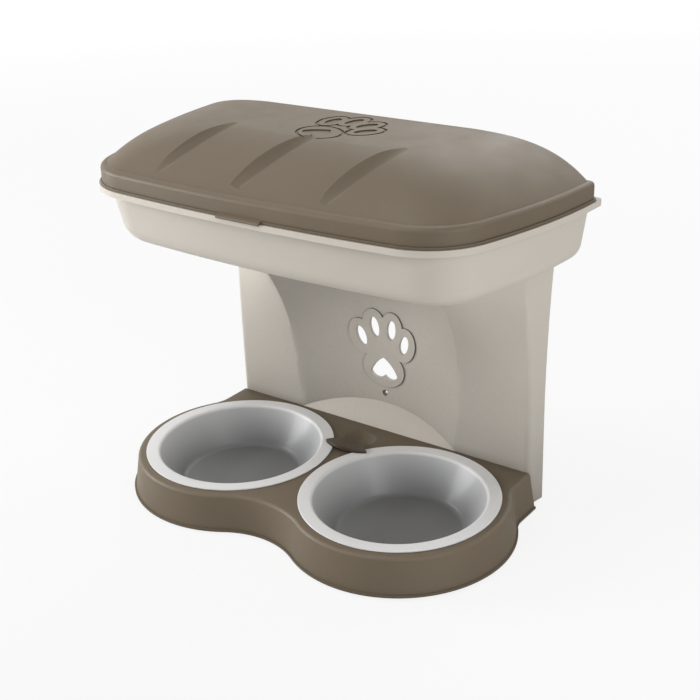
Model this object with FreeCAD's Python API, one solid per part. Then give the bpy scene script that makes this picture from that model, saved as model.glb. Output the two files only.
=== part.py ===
"""Raised double bowl stand: a two-bowl tray, a column with gussets and a lidded food bin.

Millimetres. X to the right, Y to the back, Z up. The origin lies on the floor, in the
middle of the stand's footprint.
"""
import FreeCAD
import Part
import math
import os

from FreeCAD import Vector

# Overall layout
stand_depth = 297.0
floor_gap = 3.0
rim_height = 51.0
bowl_gap = 6.0
bin_floor_height = 326.0
flange_height = 402.0
bin_back_gap = 8.0
cut_overrun = 20.0

# Bowls
bowl_rim_width = 16.0
bowl_rim_thickness = 2.0
bowl_rim_edge_round = 0.6
bowl_mouth_round = 4.0
bowl_wall = 2.2
bowl_wall_run = 28.0
bowl_floor_round = 9.0
bowl_floor_clearance = 1.5
bowl_well_clearance = 1.5

# Tray
well_border = 30.3
tray_waist_radius = 104.0
tray_shoulder_inset = 27.0
tray_shoulder_blend = 30.0
tray_draft_angle = 10.0
tray_wall = 2.5
tray_edge_round = 5.0
tray_edge_steps = 3
tray_lip = 1.5
tray_lip_height = 3.0
well_collar_depth = 12.0
tray_back_land = 19.8
finger_scoop_radius = 45.0
finger_scoop_depth = 6.0
finger_scoop_inset = 35.5

# Turn latch between the bowls
latch_scoop_gap = 31.0
latch_overlap = 11.9
latch_back_bulge = 12.0
latch_front_bulge = 10.0
latch_thickness = 5.0
latch_tip_thickness = 1.6
latch_rim_gap = 0.5
latch_hub_radius = 7.0
latch_stem_radius = 4.0
latch_boss_length = 12.0
latch_end_play = 0.1
latch_notch_clearance = 1.2
latch_bore_clearance = 0.05
latch_washer_radius = 6.5
latch_washer_thickness = 0.8

# Column
column_depth = 28.0
column_front_half_width = 226.0
column_back_half_width = 231.0
column_wall = 3.0
column_corner_round = 9.0
sweep_start_height = 111.0
gusset_reach = 105.0
rear_flare = 8.0
front_lean = 14.0
ridge_foot_half_width = 124.0
ridge_top_half_width = 145.0
ridge_land = 5.0
niche_back_gap = 4.5
niche_ramp_rise = 27.0
sweep_sections = 5

# Cut-out paw and its raised plate in the niche
paw_height = 146.0
paw_raise = 1.5
paw_plate_margin = 11.0
toe_half_length = 14.0
toe_half_width = 7.0
toe_spread = 33.0
toe_rise = 20.0
inner_toe_spread = 13.0
inner_toe_rise = 36.0
toe_tilt_angle = 18.0
pad_half_width = 21.0
pad_half_height = 15.0
pad_drop = 20.0
pad_notch_depth = 5.0

# Screw hole through the niche, for a wall
wall_hole_height = 90.0
wall_hole_radius = 2.25
wall_hole_counterbore_radius = 4.5
wall_hole_counterbore_depth = 2.0
wall_boss_radius = 8.0

# Lid outline, at its lower edge
lid_front_y = -115.0
lid_half_width = 296.5
lid_front_radius = 2300.0
lid_side_radius = 620.0
lid_corner_radius = 82.0
lid_back_corner_radius = 6.0

# Lid
lid_wall = 2.5
lid_lip = 1.5
lid_lip_height = 3.0
lid_skirt_height = 22.0
lid_edge_round = 5.0
lid_front_ledge = 11.0
lid_side_ledge = 7.0
lid_back_ledge = 3.5
dome_rise = 42.0
dome_front_run = 120.0
dome_back_run = 7.0
dome_top_corner_radius = 80.0
dome_back_corner_radius = 6.0
dome_side_power = 7.0
dome_shares = (0.0, 0.18, 0.37, 0.56, 0.74, 0.88)
lift_tab_half_width = 30.0
lift_tab_drop = 1.2
lift_tab_rise = 4.0
lift_tab_thickness = 1.5
lift_tab_gap = 0.6

# Lid grooves and paw relief
groove_pitch = 119.0
groove_middle_x = -6.0
groove_tube_radius = 16.0
groove_depth = 7.0
groove_path_radius = 600.0
groove_turn_angle = 6.0
groove_lean_angle = 14.0
groove_middle_share = 0.52
relief_depth = 1.5
relief_line = 3.5
relief_x = 10.0
relief_y = 46.0
relief_turn_angle = 160.0

# Bin
flange_overhang = 2.0
flange_edge_height = 7.0
flange_plate = 3.0
flange_edge_wall = 2.5
bin_wall = 2.5
bin_front_inset = 15.0
bin_side_inset = 8.0
bin_back_inset = 3.0
bin_draft_angle = 9.0
bin_bottom_round = 30.0
bin_mouth_rise = 4.0
bin_mouth_clearance = 2.5
bin_boss_radius = 6.0
bin_boss_rise = 11.0
bin_spigot_relief = 0.3

# Lid hinges
hinge_x = 150.0
hinge_barrel_radius = 4.0
hinge_gap = 0.8
hinge_pin_radius = 2.0
hinge_pin_fit = 0.03
hinge_running_fit = 0.06
lid_knuckle_length = 18.0
bin_knuckle_length = 10.0
knuckle_end_gap = 0.4

# Screws, washers and rubber feet
screw_radius = 2.0
screw_head_radius = 4.0
screw_head_height = 2.6
screw_length = 13.0
screw_hole_clearance = 0.25
washer_radius = 8.0
washer_thickness = 1.2
boss_fit = 0.15
tray_boss_radius = 5.0
tray_boss_length = 14.0
tray_screw_height = 28.0
tray_screw_outer_inset = 40.0
tray_screw_inner_inset = 36.0
bin_screw_inner_x = 132.0
bin_screw_inner_inset = 38.0
bin_screw_outer_x = 185.0
bin_screw_outer_inset = 40.0
foot_radius = 7.5
foot_peg_radius = 3.0
foot_peg_length = 6.0
foot_peg_fit = 0.1
foot_chamfer = 1.0
foot_boss_radius = 8.0
foot_boss_height = 10.0
tray_foot_angles = (-75.0, 8.0)
column_foot_places = (-200.0, -72.0, 72.0, 200.0)

# Places worked out from the sizes above
back_y = stand_depth / 2
column_front_y = back_y - column_depth
well_radius = (stand_depth - column_depth - tray_back_land - well_border - tray_lip) / 2
lobe_radius = well_radius + well_border
bowl_rim_radius = well_radius - bowl_well_clearance - bowl_wall + bowl_rim_width
bowl_floor_radius = bowl_rim_radius - bowl_rim_width - bowl_wall_run
bowl_x = bowl_rim_radius + bowl_gap / 2
bowl_y = column_front_y - tray_back_land - well_radius
tray_shoulder_half_width = bowl_x + lobe_radius - tray_shoulder_inset
tray_screw_outer_x = tray_shoulder_half_width - tray_screw_outer_inset
tray_screw_inner_x = bowl_x - tray_screw_inner_inset
tray_screw_places = (-tray_screw_outer_x, -tray_screw_inner_x, tray_screw_inner_x, tray_screw_outer_x)
deck_height = rim_height - bowl_rim_thickness
niche_back_y = back_y - niche_back_gap
scoop_y = column_front_y - finger_scoop_inset
latch_y = scoop_y - latch_scoop_gap
latch_reach = bowl_x - math.sqrt(bowl_rim_radius**2 - (latch_y - bowl_y)**2) + latch_overlap
latch_stem_low = deck_height - latch_boss_length - latch_end_play
bin_back_y = back_y - bin_back_gap
hinge_y = bin_back_y - hinge_barrel_radius
hinge_z = flange_height + hinge_barrel_radius + hinge_gap
lid_back_y = hinge_y - hinge_barrel_radius - hinge_gap
ledge_height = flange_height + lid_skirt_height


def flat(point, z):
    """A plan point at a height."""
    return Vector(point[0], point[1], z)


def meet(center_a, radius_a, center_b, radius_b, side):
    """One of the two points that lie at given distances from two centres."""
    dx = center_b[0] - center_a[0]
    dy = center_b[1] - center_a[1]
    span = math.hypot(dx, dy)
    along = (span**2 + radius_a**2 - radius_b**2) / (2 * span)
    across = side * math.sqrt(radius_a**2 - along**2)
    return (center_a[0] + (along * dx - across * dy) / span,
            center_a[1] + (along * dy + across * dx) / span)


def toward(start, end, length):
    """The point a given length from start, towards end."""
    span = math.hypot(end[0] - start[0], end[1] - start[1])
    return (start[0] + length * (end[0] - start[0]) / span,
            start[1] + length * (end[1] - start[1]) / span)


def bulge(center, radius, first, last):
    """The middle of the shorter arc between two points of a circle."""
    middle = ((first[0] + last[0]) / 2, (first[1] + last[1]) / 2)
    return toward(center, middle, radius)


def turned_middle(center, radius, first, last):
    """The middle of the arc that turns anticlockwise from one point of a circle to another."""
    start = math.atan2(first[1] - center[1], first[0] - center[0])
    sweep = (math.atan2(last[1] - center[1], last[0] - center[0]) - start) % (2 * math.pi)
    turn = start + sweep / 2
    return (center[0] + radius * math.cos(turn), center[1] + radius * math.sin(turn))


def mirrored(point):
    """The same plan point on the other side of the stand."""
    return (-point[0], point[1])


def outline_wire(runs, z):
    """A closed plan wire from (start, middle or None, end) runs."""
    edges = []
    for start, middle, end in runs:
        if middle is None:
            edges.append(Part.LineSegment(flat(start, z), flat(end, z)).toShape())
        else:
            edges.append(Part.Arc(flat(start, z), flat(middle, z), flat(end, z)).toShape())
    return Part.Wire(edges)


def both_sides(front, right, back):
    """Runs of a symmetric outline: the front run, the right side's, the back, the left side's."""
    left = [(mirrored(end), middle and mirrored(middle), mirrored(start))
            for start, middle, end in reversed(right)]
    return [front] + right + [back] + left


def rounded_runs(corners):
    """Runs round a polygon of (point, radius) corners, with an arc at each rounded corner."""
    runs = []
    stations = []
    for index, (point, radius) in enumerate(corners):
        before = corners[index - 1][0]
        after = corners[(index + 1) % len(corners)][0]
        if radius == 0:
            stations.append((point, None, point))
            continue
        turn = math.atan2(after[1] - point[1], after[0] - point[0])
        turn -= math.atan2(before[1] - point[1], before[0] - point[0])
        half = abs(math.remainder(turn, 2 * math.pi)) / 2
        tangent = radius / math.tan(half)
        start = toward(point, before, tangent)
        end = toward(point, after, tangent)
        middle_way = ((start[0] + end[0]) / 2, (start[1] + end[1]) / 2)
        middle = toward(point, middle_way, radius / math.sin(half) - radius)
        stations.append((start, middle, end))
    for index, (start, middle, end) in enumerate(stations):
        last_end = stations[index - 1][2]
        if math.dist(last_end, start) > 0:
            runs.append((last_end, None, start))
        if middle is not None:
            runs.append((start, middle, end))
    return runs


def upright_face(corners, place):
    """A face from rounded corners in a plane, put in space by a place function."""
    edges = []
    for start, middle, end in rounded_runs(corners):
        if middle is None:
            edges.append(Part.LineSegment(place(start), place(end)).toShape())
        else:
            edges.append(Part.Arc(place(start), place(middle), place(end)).toShape())
    return Part.Face(Part.Wire(edges))


def ring(radius, z_low, z_high, x, y):
    """An upright cylinder between two heights."""
    return Part.makeCylinder(radius, z_high - z_low, Vector(x, y, z_low))


def rod_y(radius, x, z, y_low, y_high):
    """A cylinder along Y."""
    return Part.makeCylinder(radius, y_high - y_low, Vector(x, y_low, z), Vector(0, 1, 0))


def rod_x(radius, y, z, x_low, x_high):
    """A cylinder along X."""
    return Part.makeCylinder(radius, x_high - x_low, Vector(x_low, y, z), Vector(1, 0, 0))


def box(x_low, x_high, y_low, y_high, z_low, z_high):
    """A box between two corners."""
    corner = Vector(x_low, y_low, z_low)
    return Part.makeBox(x_high - x_low, y_high - y_low, z_high - z_low, corner)


def joined(shapes):
    """Several solids as one."""
    return shapes[0].multiFuse(shapes[1:]).removeSplitter()


def arc_reach(z, reach):
    """How far an arc that leaves the vertical at the sweep's start has come at a height."""
    rise = bin_floor_height - sweep_start_height
    radius = (rise**2 + reach**2) / (2 * reach)
    climbed = max(z - sweep_start_height, 0)
    return radius - math.sqrt(radius**2 - climbed**2)


# Bowls

def make_bowl(side):
    """A feeding bowl with a flat rim that hangs on the tray, notched under the latch."""
    mouth = bowl_rim_radius - bowl_rim_width
    under_rim = rim_height - bowl_rim_thickness
    inside_floor = bowl_floor_clearance + bowl_wall
    profile = [
        ((0, bowl_floor_clearance), 0),
        ((bowl_floor_radius + bowl_wall, bowl_floor_clearance), bowl_floor_round + bowl_wall),
        ((mouth + bowl_wall, under_rim), bowl_rim_thickness),
        ((bowl_rim_radius, under_rim), bowl_rim_edge_round),
        ((bowl_rim_radius, rim_height), bowl_rim_edge_round),
        ((mouth, rim_height), bowl_mouth_round),
        ((bowl_floor_radius, inside_floor), bowl_floor_round),
        ((0, inside_floor), 0),
    ]
    center = Vector(side * bowl_x, bowl_y, 0)
    face = upright_face(profile, lambda p: center + Vector(p[0], 0, p[1]))
    bowl = face.revolve(center, Vector(0, 0, 1), 360)
    notch = latch_plan(latch_notch_clearance, under_rim - cut_overrun)
    return bowl.cut(notch.extrude(Vector(0, 0, 2 * cut_overrun)))


# Tray

def tray_runs(inset, back_inset):
    """Tray outline: two lobes, a waist in front and shoulders against the column."""
    lobe = (bowl_x, bowl_y)
    lobe_r = lobe_radius - inset
    waist_r = tray_waist_radius + inset
    blend_r = tray_shoulder_blend + inset
    side_x = tray_shoulder_half_width - inset
    waist = (0, bowl_y - math.sqrt((lobe_r + waist_r)**2 - bowl_x**2))
    waist_end = toward(lobe, waist, lobe_r)
    blend_x = side_x + blend_r
    blend = (blend_x, bowl_y + math.sqrt((lobe_r + blend_r)**2 - (blend_x - bowl_x)**2))
    lobe_end = toward(lobe, blend, lobe_r)
    side_start = (side_x, blend[1])
    corner = (side_x, column_front_y - back_inset)
    waist_middle = (0, waist[1] + waist_r)
    right = [
        (waist_end, turned_middle(lobe, lobe_r, waist_end, lobe_end), lobe_end),
        (lobe_end, bulge(blend, blend_r, lobe_end, side_start), side_start),
        (side_start, None, corner),
    ]
    front = (mirrored(waist_end), waist_middle, waist_end)
    return both_sides(front, right, (corner, None, mirrored(corner)))


def tray_draft(z):
    """How far the tray's drafted wall has come in at a height."""
    return math.tan(math.radians(tray_draft_angle)) * (z - floor_gap)


def tray_loft(z_low, z_high, thickness):
    """The drafted tray block between two heights, inside its outer face by a thickness."""
    wires = [outline_wire(tray_runs(thickness + tray_draft(z), thickness), z) for z in (z_low, z_high)]
    return Part.makeLoft(wires, True, True)


def tray_edge():
    """The tray's rounded top edge, as a cap on the drafted block."""
    shoulder = deck_height - tray_edge_round
    wires = []
    for step in range(tray_edge_steps + 1):
        turn = math.radians(90) * step / tray_edge_steps
        inset = tray_draft(shoulder) + tray_edge_round * (1 - math.cos(turn))
        wires.append(outline_wire(tray_runs(inset, 0), shoulder + tray_edge_round * math.sin(turn)))
    return Part.makeLoft(wires, True, False)


def tray_foot_places():
    """Plan places of the tray's feet, between the wells and the outer wall."""
    outer = lobe_radius - tray_draft(deck_height) - tray_wall
    reach = (well_radius + tray_wall + outer) / 2
    places = []
    for side in (-1, 1):
        for angle in tray_foot_angles:
            turn = math.radians(angle)
            places.append((side * (bowl_x + reach * math.cos(turn)),
                           bowl_y + reach * math.sin(turn)))
    return places


def make_tray():
    """The base tray: a drafted shell with two wells, a finger scoop and bosses under its deck."""
    block = tray_loft(floor_gap, deck_height - tray_edge_round, 0).fuse(tray_edge())
    lip_face = Part.Face(outline_wire(tray_runs(-tray_lip, 0), floor_gap))
    block = block.fuse(lip_face.extrude(Vector(0, 0, tray_lip_height)))

    hollow = tray_loft(floor_gap - cut_overrun, deck_height - tray_wall, tray_wall)
    scoop_center = Vector(0, scoop_y, deck_height - finger_scoop_depth + finger_scoop_radius)
    boss_low = deck_height - latch_boss_length
    keep = [Part.makeSphere(finger_scoop_radius + tray_wall, scoop_center),
            ring(latch_hub_radius, boss_low, deck_height, 0, latch_y)]
    for side in (-1, 1):
        collar_low = deck_height - well_collar_depth
        keep.append(ring(well_radius + tray_wall, collar_low, deck_height, side * bowl_x, bowl_y))
    for x, y in tray_foot_places():
        keep.append(ring(foot_boss_radius, floor_gap, deck_height, x, y))
    for x in tray_screw_places:
        keep.append(rod_y(tray_boss_radius, x, tray_screw_height,
                          column_front_y - tray_wall - tray_boss_length, column_front_y))
    tray = block.cut(hollow.cut(joined(keep)))

    bore_radius = latch_stem_radius + latch_bore_clearance
    holes = [Part.makeSphere(finger_scoop_radius, scoop_center),
             ring(bore_radius, boss_low - cut_overrun, deck_height + cut_overrun, 0, latch_y)]
    for side in (-1, 1):
        holes.append(ring(well_radius, -cut_overrun, deck_height + cut_overrun, side * bowl_x, bowl_y))
    for x, y in tray_foot_places():
        peg = foot_peg_radius + foot_peg_fit
        holes.append(ring(peg, -cut_overrun, floor_gap + foot_peg_length + foot_peg_fit, x, y))
    for x in tray_screw_places:
        holes.append(rod_y(screw_radius, x, tray_screw_height,
                           column_front_y + column_wall - screw_length, column_front_y + cut_overrun))
    return tray.cut(joined(holes)).removeSplitter()


# Turn latch

def latch_plan(margin, z):
    """The latch's leaf in plan: two pointed wings."""
    reach = latch_reach + margin
    tips = ((-reach, latch_y), (reach, latch_y))
    back = (0, latch_y + latch_back_bulge + margin)
    front = (0, latch_y - latch_front_bulge - margin)
    return Part.Face(outline_wire([(tips[0], front, tips[1]), (tips[1], back, tips[0])], z))


def make_latch():
    """The turn latch: a crowned leaf on a hub, with a stem that turns in the tray's boss."""
    underside = rim_height + latch_rim_gap
    leaf = latch_plan(0, underside).extrude(Vector(0, 0, latch_thickness))
    drop = latch_thickness - latch_tip_thickness
    crown_radius = (latch_reach**2 + drop**2) / (2 * drop)
    crown_height = underside + latch_thickness - crown_radius
    crown = rod_y(crown_radius, 0, crown_height, latch_y - latch_reach, latch_y + latch_reach)
    hub = ring(latch_hub_radius, deck_height, underside, 0, latch_y)
    stem = ring(latch_stem_radius, latch_stem_low, underside, 0, latch_y)
    pilot_top = latch_stem_low - latch_washer_thickness + screw_length
    pilot = ring(screw_radius, latch_stem_low - cut_overrun, pilot_top, 0, latch_y)
    return joined([leaf.common(crown), hub, stem]).cut(pilot)


def make_latch_washer():
    """The washer that keeps the latch's stem in the tray's boss."""
    low = latch_stem_low - latch_washer_thickness
    disc = ring(latch_washer_radius, low, latch_stem_low, 0, latch_y)
    bore = screw_radius + screw_hole_clearance
    return disc.cut(ring(bore, low - cut_overrun, latch_stem_low + cut_overrun, 0, latch_y))


def make_latch_screw():
    """The screw up into the latch's stem, under the washer."""
    return screw_at(Vector(0, latch_y, latch_stem_low - latch_washer_thickness), Vector(0, 0, 1))


# Column

def ridge_half_width(z):
    """Half the distance between the two gusset ridges at a height."""
    share = (z - floor_gap) / (bin_floor_height - floor_gap)
    return ridge_foot_half_width + share * (ridge_top_half_width - ridge_foot_half_width)


def shifted_corner(before, point, after, first_shift, second_shift):
    """A polygon corner after its two edges have moved inwards, to the left of their run."""
    normals = []
    for start, end in ((before, point), (point, after)):
        span = math.dist(start, end)
        normals.append(((start[1] - end[1]) / span, (end[0] - start[0]) / span))
    (ax, ay), (bx, by) = normals
    turn = ax * by - ay * bx
    if abs(turn) < math.ulp(1) ** 0.5:
        return (point[0] + ax * first_shift, point[1] + ay * first_shift)
    a_level = ax * point[0] + ay * point[1] + first_shift
    b_level = bx * point[0] + by * point[1] + second_shift
    return ((a_level * by - ay * b_level) / turn, (ax * b_level - a_level * bx) / turn)


def column_section(z, thickness, back_run):
    """The column's plan at a height: flat land, gusset wings, rounded front corners, back."""
    ridge = (ridge_half_width(z), column_front_y - arc_reach(z, gusset_reach))
    corner = (column_front_half_width - arc_reach(z, front_lean), column_front_y)
    rear = (column_back_half_width + arc_reach(z, rear_flare), back_y)
    points = [mirrored(ridge), ridge, corner, rear, mirrored(rear), mirrored(corner)]
    shifts = [thickness, thickness, thickness, -back_run, thickness, thickness]
    moved = []
    for index, point in enumerate(points):
        after = points[(index + 1) % len(points)]
        moved.append(shifted_corner(points[index - 1], point, after, shifts[index - 1], shifts[index]))
    rounds = [0, 0, column_corner_round - thickness, 0, 0, column_corner_round - thickness]
    return outline_wire(rounded_runs(list(zip(moved, rounds))), z)


def niche_section(z, thickness):
    """The niche's plan at a height: an arc from ridge to ridge, open to the front."""
    half = ridge_half_width(z) - ridge_land
    mouth_y = column_front_y - arc_reach(z, gusset_reach)
    depth = niche_back_y - mouth_y
    radius = (half**2 + depth**2) / (2 * depth)
    center_y = niche_back_y - radius
    half = math.sqrt((radius + thickness)**2 - (mouth_y - center_y)**2)
    front_y = mouth_y - cut_overrun
    runs = [((half, mouth_y), (0, niche_back_y + thickness), (-half, mouth_y)),
            ((-half, mouth_y), None, (-half, front_y)),
            ((-half, front_y), None, (half, front_y)),
            ((half, front_y), None, (half, mouth_y))]
    return outline_wire(runs, z)


def swept(section, z_low, z_high):
    """A solid through plan sections: straight up to the sweep's start, then on along its curve."""
    rise = (z_high - sweep_start_height) / (sweep_sections - 1)
    heights = [sweep_start_height + rise * step for step in range(sweep_sections)]
    lower = Part.makeLoft([section(z_low), section(sweep_start_height)], True, True)
    upper = Part.makeLoft([section(z) for z in heights], True, False)
    return lower.fuse(upper)


def make_niche(thickness):
    """The niche as a solid to cut: swept arcs over a ramp that rises from the tray's deck."""
    roof = bin_floor_height - column_wall
    niche = swept(lambda z: niche_section(z, thickness), floor_gap, roof)
    slope = niche_ramp_rise / (niche_back_y - column_front_y)
    foot = deck_height - thickness * math.sqrt(1 + slope**2)
    front = column_front_y - gusset_reach - cut_overrun
    rear = niche_back_y + cut_overrun
    low = min(floor_gap, foot + slope * (front - column_front_y)) - cut_overrun
    wedge = [((front, foot + slope * (front - column_front_y)), 0),
             ((rear, foot + slope * (rear - column_front_y)), 0),
             ((rear, low), 0),
             ((front, low), 0)]
    side = -ridge_top_half_width - cut_overrun
    face = upright_face(wedge, lambda p: Vector(side, p[0], p[1]))
    return niche.cut(face.extrude(Vector(-2 * side, 0, 0)))


def paw_toes():
    """Places and tilts of the four toes, from the paw's middle."""
    return [(-toe_spread, toe_rise, toe_tilt_angle), (toe_spread, toe_rise, -toe_tilt_angle),
            (-inner_toe_spread, inner_toe_rise, toe_tilt_angle / 2),
            (inner_toe_spread, inner_toe_rise, -toe_tilt_angle / 2)]


def oval_face(half_length, half_width):
    """An upright oval about the origin, in the XZ plane, its long axis along Z."""
    tip = Vector(0, 0, half_length)
    ellipse = Part.Ellipse(tip, Vector(half_width, 0, 0), Vector(0, 0, 0))
    return Part.Face(Part.Wire(ellipse.toShape()))


def pad_face():
    """The paw's pad: a rounded heart-like shape with a shallow notch below."""
    half = pad_half_width
    tall = pad_half_height
    runs = [((-half, -tall / 2), (-half / 2, tall / 2), (0, tall)),
            ((0, tall), (half / 2, tall / 2), (half, -tall / 2)),
            ((half, -tall / 2), (half / 2, -tall), (0, pad_notch_depth - tall)),
            ((0, pad_notch_depth - tall), (-half / 2, -tall), (-half, -tall / 2))]
    edges = []
    for start, middle, end in runs:
        ends = [Vector(p[0], 0, p[1]) for p in (start, middle, end)]
        edges.append(Part.Arc(*ends).toShape())
    return Part.Face(Part.Wire(edges))


def make_paw(margin, length):
    """The paw's toes and pad as bars along Y, grown by a margin, about the origin."""
    bars = []
    for x, z, tilt in paw_toes():
        face = oval_face(toe_half_length + margin, toe_half_width + margin)
        face.rotate(Vector(0, 0, 0), Vector(0, 1, 0), -tilt)
        face.translate(Vector(x, 0, z))
        bars.append(face.extrude(Vector(0, length, 0)))
    pad = pad_face()
    if margin > 0:
        pad = oval_face(pad_half_width + margin, pad_half_height + margin)
        pad.rotate(Vector(0, 0, 0), Vector(0, 1, 0), 90)
    pad.translate(Vector(0, 0, -pad_drop))
    bars.append(pad.extrude(Vector(0, length, 0)))
    return joined(bars)


def make_column():
    """The column: a thin shell, open behind, with two gussets round a niche under the bin."""
    body = swept(lambda z: column_section(z, 0, 0), floor_gap, bin_floor_height)
    roof = bin_floor_height - column_wall
    hollow = swept(lambda z: column_section(z, column_wall, cut_overrun), floor_gap + column_wall, roof)
    column = body.cut(make_niche(0)).cut(hollow.cut(make_niche(column_wall)))

    plate = make_paw(paw_plate_margin, column_depth)
    plate.translate(Vector(0, column_front_y, paw_height))
    skin = make_niche(0).cut(make_niche(-paw_raise))
    holes = make_paw(0, column_depth + cut_overrun)
    holes.translate(Vector(0, column_front_y, paw_height))
    column = column.fuse(plate.common(skin)).cut(holes)

    boss = rod_y(wall_boss_radius, 0, wall_hole_height, niche_back_y, back_y)
    bore = rod_y(wall_hole_radius, 0, wall_hole_height, column_front_y, back_y + cut_overrun)
    sink = rod_y(wall_hole_counterbore_radius, 0, wall_hole_height, column_front_y,
                 niche_back_y + wall_hole_counterbore_depth)
    column = column.fuse(boss).cut(bore).cut(sink)

    foot_y = back_y - column_depth / 2
    sole = floor_gap + column_wall
    solid = [ring(foot_boss_radius, sole, floor_gap + foot_boss_height, x, foot_y)
             for x in column_foot_places]
    holes = [ring(foot_peg_radius + foot_peg_fit, -cut_overrun,
                  floor_gap + foot_peg_length + foot_peg_fit, x, foot_y) for x in column_foot_places]
    for x in tray_screw_places:
        holes.append(rod_y(screw_radius + screw_hole_clearance, x, tray_screw_height,
                           column_front_y - cut_overrun, column_front_y + cut_overrun / 2))
    for x, y in bin_screw_places():
        holes.append(ring(bin_boss_radius + boss_fit, roof - cut_overrun / 2,
                          bin_floor_height + cut_overrun, x, y))
    return joined([column] + solid).cut(joined(holes)).removeSplitter()


# Bin

def tub_runs(front_in, side_in, back_in, front_round, back_round):
    """The lid's plan outline moved inwards: bowed front and sides, round corners, straight back."""
    front_r = lid_front_radius - front_in
    side_r = lid_side_radius - side_in
    front_center = (0, lid_front_y + lid_front_radius)
    side_center = (lid_half_width - lid_side_radius, back_y)
    rear_y = lid_back_y - back_in
    corner = meet(front_center, front_r - front_round, side_center, side_r - front_round, 1)
    drop = rear_y - back_round - side_center[1]
    rear = (side_center[0] + math.sqrt((side_r - back_round)**2 - drop**2), rear_y - back_round)
    front_end = toward(front_center, corner, front_r)
    side_start = toward(side_center, corner, side_r)
    side_end = toward(side_center, rear, side_r)
    back_start = (rear[0], rear_y)
    right = [
        (front_end, bulge(corner, front_round, front_end, side_start), side_start),
        (side_start, bulge(side_center, side_r, side_start, side_end), side_end),
        (side_end, bulge(rear, back_round, side_end, back_start), back_start),
    ]
    front = (mirrored(front_end), (0, front_center[1] - front_r), front_end)
    return both_sides(front, right, (back_start, None, mirrored(back_start)))


def even_outline(z, inset):
    """The lid's outline moved inwards by the same amount all round."""
    runs = tub_runs(inset, inset, inset, lid_corner_radius - inset, lid_back_corner_radius)
    return outline_wire(runs, z)


def bin_outline(z, thickness):
    """The tub wall's outline at a height, inside its outer face, run on past the back."""
    taper = (flange_height - z) * math.tan(math.radians(bin_draft_angle)) + thickness
    corner = lid_corner_radius - bin_front_inset - thickness
    runs = tub_runs(bin_front_inset + taper, bin_side_inset + taper, -corner - cut_overrun, corner, corner)
    return outline_wire(runs, z)


def tub_block(z_low, z_high, thickness):
    """The tub as a block: drafted, round at the foot and cut off flat at the back."""
    block = Part.makeLoft([bin_outline(z_low, thickness), bin_outline(z_high, thickness)], True, True)
    foot_edges = [edge for edge in block.Edges if edge.BoundBox.ZMax < z_low + bin_wall]
    block = block.makeFillet(bin_bottom_round - thickness, foot_edges)
    rear = lid_back_y - bin_back_inset - thickness
    room = box(-lid_half_width, lid_half_width, lid_front_y, rear, z_low, z_high)
    return block.common(room)


def bin_screw_places():
    """Plan places of the bin's four screw bosses, over the column's gussets."""
    places = []
    for side in (-1, 1):
        places.append((side * bin_screw_inner_x, back_y - bin_screw_inner_inset))
        places.append((side * bin_screw_outer_x, back_y - bin_screw_outer_inset))
    return places


def bin_screw_seat():
    """The height of the bin screws' heads, under the washers below the column's roof."""
    return bin_floor_height - column_wall - washer_thickness


def hinge_knuckles(spans, radius):
    """Barrels of both hinges along X, one for each (low, high) span from the hinge's middle."""
    barrels = []
    for side in (-1, 1):
        for low, high in spans:
            x = side * hinge_x
            barrels.append(rod_x(radius, hinge_y, hinge_z, x + low, x + high))
    return barrels


def bin_knuckle_spans():
    """The bin's two knuckles, either side of the lid's, from the hinge's middle."""
    inner = lid_knuckle_length / 2 + knuckle_end_gap
    outer = inner + bin_knuckle_length
    return [(-outer, -inner), (inner, outer)]


def make_bin():
    """The food bin: a tapered tub with a turned-down flange, a mouth rim and hinge knuckles."""
    top = flange_height + bin_mouth_rise
    tub = tub_block(bin_floor_height, flange_height, 0)
    inside = tub_block(bin_floor_height + bin_wall, top + cut_overrun, bin_wall)

    edge_low = flange_height - flange_edge_height
    rear_run = lid_back_y - bin_back_y
    plate_runs = tub_runs(-flange_overhang, -flange_overhang, rear_run, lid_corner_radius + flange_overhang,
                          lid_back_corner_radius)
    under_in = flange_edge_wall - flange_overhang
    under_runs = tub_runs(under_in, under_in, rear_run + flange_edge_wall, lid_corner_radius - under_in,
                          lid_back_corner_radius)
    flange = Part.Face(outline_wire(plate_runs, edge_low)).extrude(Vector(0, 0, flange_edge_height))
    under = Part.Face(outline_wire(under_runs, edge_low - cut_overrun))
    flange = flange.cut(under.extrude(Vector(0, 0, cut_overrun + flange_edge_height - flange_plate)))

    rim_inset = lid_lip + lid_wall + bin_mouth_clearance
    mouth = Part.Face(even_outline(flange_height, rim_inset)).extrude(Vector(0, 0, bin_mouth_rise))
    mouth_inside = Part.Face(even_outline(flange_height - cut_overrun, rim_inset + bin_wall))
    mouth = mouth.cut(mouth_inside.extrude(Vector(0, 0, 2 * cut_overrun)))

    solids = [tub, flange, mouth]
    for low, high in bin_knuckle_spans():
        for side in (-1, 1):
            x = side * hinge_x
            solids.append(box(x + low, x + high, hinge_y - hinge_barrel_radius,
                              hinge_y + hinge_barrel_radius, flange_height - flange_plate, hinge_z))
    solids += hinge_knuckles(bin_knuckle_spans(), hinge_barrel_radius)
    shell = joined(solids).cut(inside)

    bosses = []
    bores = hinge_knuckles(bin_knuckle_spans(), hinge_pin_radius + hinge_pin_fit)
    spigot_low = bin_floor_height - column_wall + bin_spigot_relief
    for x, y in bin_screw_places():
        bosses.append(ring(bin_boss_radius, spigot_low, bin_floor_height + bin_boss_rise, x, y))
        bores.append(ring(screw_radius, spigot_low - cut_overrun, bin_screw_seat() + screw_length, x, y))
    return joined([shell] + bosses).cut(joined(bores)).removeSplitter()


# Lid

def dome_climb(share):
    """How much of its rise the dome has made at a share of its front run."""
    return 1 - (1 - share)**2


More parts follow.
